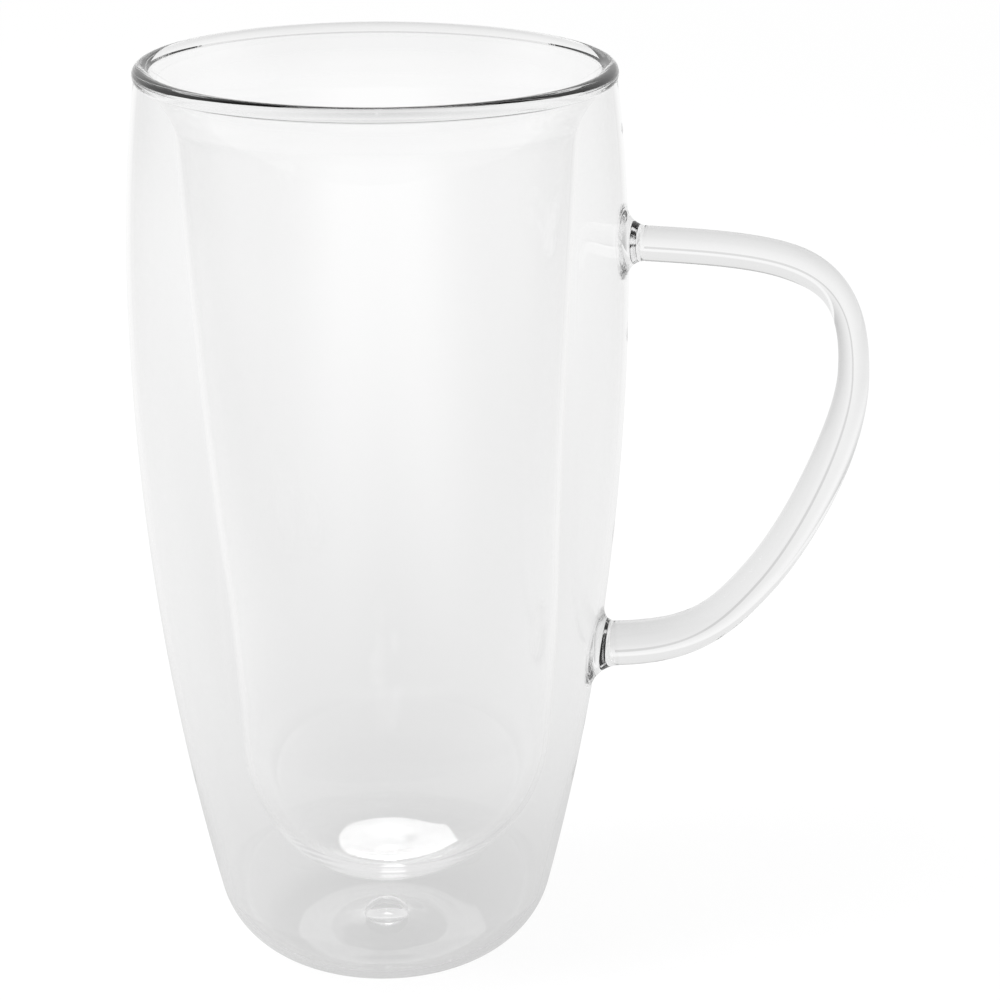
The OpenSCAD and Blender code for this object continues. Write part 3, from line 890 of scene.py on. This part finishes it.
def studio_world(look):
    """A soft studio: pale at the height of the lens, darker overhead, with one window behind the cup."""
    world = bpy.data.worlds.new("soft studio")
    bpy.context.scene.world = world
    world.use_nodes = True
    t = world.node_tree
    t.nodes.clear()
    where = add(t, "ShaderNodeTexCoord").outputs["Generated"]
    up = add(t, "ShaderNodeSeparateXYZ", {0: where}).outputs["Z"]
    a = look.camera_turn
    b = a + look.window_turn
    ahead, across = (
        add(t, "ShaderNodeVectorMath", {0: where, 1: axis}, operation="DOT_PRODUCT").outputs["Value"]
        for axis in ((-math.sin(a), math.cos(a), 0), (math.cos(b), math.sin(b), 0)))
    across = add(t, "ShaderNodeMath", {0: across}, operation="ABSOLUTE")
    path = add(t, "ShaderNodeLightPath")
    crossed, turns = path.outputs["Transmission Depth"], path.outputs["Glossy Depth"]
    # Where each part of the studio starts and ends, as shares of straight up or straight ahead
    haze, ceiling, rear = (0.03, 0.1), (0.6, 0.9), (-0.6, 0.2)
    # The dark ceiling draws the thin line under the lip; light through two walls shows none of it
    dark = faded(t, 1 - look.zenith, (up, *ceiling), (crossed, 4, 2))
    top = add(t, "ShaderNodeMath", {0: 1, 1: dark}, operation="SUBTRACT")
    level = faded(t, top, (up, *haze, look.horizon, look.sky), (ahead, *rear, look.behind, 1))
    # The window is seen only mirrored, and in full only through all four walls, deep in the cup
    soft, deep = 0.03, (6.5, 7.5)
    edge, sill, head = (math.sin(v) for v in (look.window_wide, look.window_low, look.window_high))
    pane = faded(
        t, look.window, (ahead, 0, soft), (across, edge + soft, edge), (up, sill, sill + soft),
        (up, head + soft, head), (turns, 0, 1), (crossed, *deep, look.window_thin, 1))
    lit = add(t, "ShaderNodeMath", {0: pane, 1: level}, operation="ADD")
    shown = add(t, "ShaderNodeMix", {0: path.outputs["Is Camera Ray"], 2: lit, 3: 1.0})
    back = add(t, "ShaderNodeBackground", {"Color": (1, 1, 1, 1), "Strength": shown})
    add(t, "ShaderNodeOutputWorld", {"Surface": back})


def floor_plane(look):
    half = look.floor_half
    gap = 0.05 * MM
    mesh = bpy.data.meshes.new("floor")
    corners = [(-half, -half, -gap), (half, -half, -gap), (half, half, -gap), (-half, half, -gap)]
    mesh.from_pydata(corners, [], [(0, 1, 2, 3)])
    mesh.materials.append(floor_with_painted_shadow(look))
    new_object("floor", mesh)


def soft_lamp(look):
    """A large soft lamp. It is hidden from mirror and refracted rays, which see the studio instead."""
    lamp = bpy.data.lights.new("soft lamp", "AREA")
    lamp.shape = "DISK"
    lamp.size = look.key_wide
    lamp.energy = look.key
    o = new_object("soft lamp", lamp)
    o.location = look.key_place
    o.rotation_euler = (-o.location).to_track_quat("-Z", "Y").to_euler()
    o.visible_glossy = False
    o.visible_transmission = False


def studio_camera(look):
    cam = bpy.data.cameras.new("camera")
    cam.sensor_width = 36
    cam.lens = look.lens
    o = new_object("camera", cam)
    p, y = look.pitch, look.yaw
    ahead = Vector((math.cos(p) * math.sin(y), math.cos(p) * math.cos(y), -math.sin(p)))
    right = Vector((math.cos(y), -math.sin(y), 0))
    up = right.cross(ahead)
    c, s = math.cos(look.roll), math.sin(look.roll)
    rolled = Matrix((c * right + s * up, c * up - s * right, -ahead)).transposed().to_4x4()
    place = Matrix.Translation((0, -look.camera_far, look.camera_high))
    o.matrix_world = Matrix.Rotation(look.camera_turn, 4, "Z") @ place @ rolled
    bpy.context.scene.camera = o


# Operators

class GLASSCUP_OT_outer_wall(bpy.types.Operator):
    """Blow the outer wall, with the two places that the handle is fused to"""
    bl_idname = "glasscup.outer_wall"
    bl_label = "Outer wall"

    def execute(self, context):
        form = CupForm(context.scene.glass_cup_walls)
        o = turned_piece("outer_wall_glass", form.outer_wall(), wall_glass(), form)
        bm = bmesh.new()
        bm.from_mesh(o.data)
        bmesh.ops.remove_doubles(bm, verts=bm.verts, dist=TOUCH)
        for weld in welds(form, context.scene.glass_cup_handle):
            fill_window(bm, form, weld)
        bm.to_mesh(o.data)
        bm.free()
        finish_piece(o, "outer_wall", wall_glass())
        return {"FINISHED"}


class GLASSCUP_OT_base(bpy.types.Operator):
    """Make the heavy base and the drop of glass that seals its vent"""
    bl_idname = "glasscup.base"
    bl_label = "Base and vent seal"

    def execute(self, context):
        form = CupForm(context.scene.glass_cup_walls)
        for name, outline in (("base", form.base()), ("vent_seal", form.vent_seal())):
            o = turned_piece(name + "_glass", outline, base_glass(), form)
            finish_piece(o, name, base_glass())
        return {"FINISHED"}


class GLASSCUP_OT_inner_wall(bpy.types.Operator):
    """Blow the inner vessel, with its shoulder, its pool of glass and its slight sway"""
    bl_idname = "glasscup.inner_wall"
    bl_label = "Inner wall"

    def execute(self, context):
        form = CupForm(context.scene.glass_cup_walls)
        o = turned_piece("inner_wall_glass", form.inner_wall(), wall_glass(), form, form.s.sway)
        finish_piece(o, "inner_wall", wall_glass())
        return {"FINISHED"}


class GLASSCUP_OT_lip(bpy.types.Operator):
    """Fuse the two walls into the round lip"""
    bl_idname = "glasscup.lip"
    bl_label = "Lip"

    def execute(self, context):
        form = CupForm(context.scene.glass_cup_walls)
        o = turned_piece("lip_bead_glass", form.lip_bead(), lip_glass(), form)
        finish_piece(o, "lip_bead", lip_glass())
        return {"FINISHED"}


class GLASSCUP_OT_handle(bpy.types.Operator):
    """Bend the handle's rod and gather glass round both of its ends"""
    bl_idname = "glasscup.handle"
    bl_label = "Handle and welds"

    def execute(self, context):
        form = CupForm(context.scene.glass_cup_walls)
        h = context.scene.glass_cup_handle
        upper, lower = welds(form, h)
        points, thick, wide = rod_axis(h, upper, lower)
        ends = np.zeros(len(points))
        ends[[0, -1]] = 1
        seed = seed_mesh("rod_axis", np.c_[points[:, 0], 0 * thick, points[:, 1]],
                         thick=thick, wide=wide, joint=ends)
        rod = grown("handle_rod_glass", seed, rod_tree(), {
            "Sides": h.sides, "Glass": rod_glass(), "Joint": fused_joint()})
        for weld, node in ((upper, "upper_weld"), (lower, "lower_weld")):
            mesh = weld_mesh(node + "_glass", weld, rod)
            finish_piece(new_object(mesh.name, mesh), node, weld_glass())
        finish_piece(rod, "handle_rod", rod_glass())
        return {"FINISHED"}


class GLASSCUP_OT_stage(bpy.types.Operator):
    """Set the pale floor, the soft studio, its lamp and the camera"""
    bl_idname = "glasscup.stage"
    bl_label = "Stage"

    def execute(self, context):
        scene = context.scene
        look = scene.glass_cup_look
        scene.view_settings.view_transform = "Standard"
        # Glass on glass needs long light paths
        for kind in ("max", "transmission", "glossy"):
            setattr(scene.cycles, kind + "_bounces", LONG_PATH)
        scene.cycles.transparent_max_bounces = CLEAR_PATH
        floor_plane(look)
        studio_world(look)
        soft_lamp(look)
        studio_camera(look)
        return {"FINISHED"}


OPERATORS = (
    GLASSCUP_OT_outer_wall,
    GLASSCUP_OT_base,
    GLASSCUP_OT_inner_wall,
    GLASSCUP_OT_lip,
    GLASSCUP_OT_handle,
    GLASSCUP_OT_stage,
)


class GLASSCUP_PT_panel(bpy.types.Panel):
    """Sizes, looks and pieces of the glass cup"""
    bl_idname = "GLASSCUP_PT_panel"
    bl_label = "Glass cup"
    bl_space_type = "VIEW_3D"
    bl_region_type = "UI"
    bl_category = "Glass cup"

    def draw(self, context):
        scene = context.scene
        for group in (scene.glass_cup_walls, scene.glass_cup_handle, scene.glass_cup_look):
            box = self.layout.box()
            for key in group.__annotations__:
                box.prop(group, key)
        for operator in OPERATORS:
            self.layout.operator(operator.bl_idname)


CLASSES = (GlassCupWalls, GlassCupHandle, GlassCupLook, *OPERATORS, GLASSCUP_PT_panel)


def register():
    for c in CLASSES:
        bpy.utils.register_class(c)
    bpy.types.Scene.glass_cup_walls = PointerProperty(type=GlassCupWalls)
    bpy.types.Scene.glass_cup_handle = PointerProperty(type=GlassCupHandle)
    bpy.types.Scene.glass_cup_look = PointerProperty(type=GlassCupLook)


def unregister():
    del bpy.types.Scene.glass_cup_look
    del bpy.types.Scene.glass_cup_handle
    del bpy.types.Scene.glass_cup_walls
    for c in reversed(CLASSES):
        bpy.utils.unregister_class(c)


def main():
    register()
    bpy.ops.glasscup.outer_wall()
    bpy.ops.glasscup.base()
    bpy.ops.glasscup.inner_wall()
    bpy.ops.glasscup.lip()
    bpy.ops.glasscup.handle()
    bpy.ops.glasscup.stage()


if __name__ == "__main__":
    main()
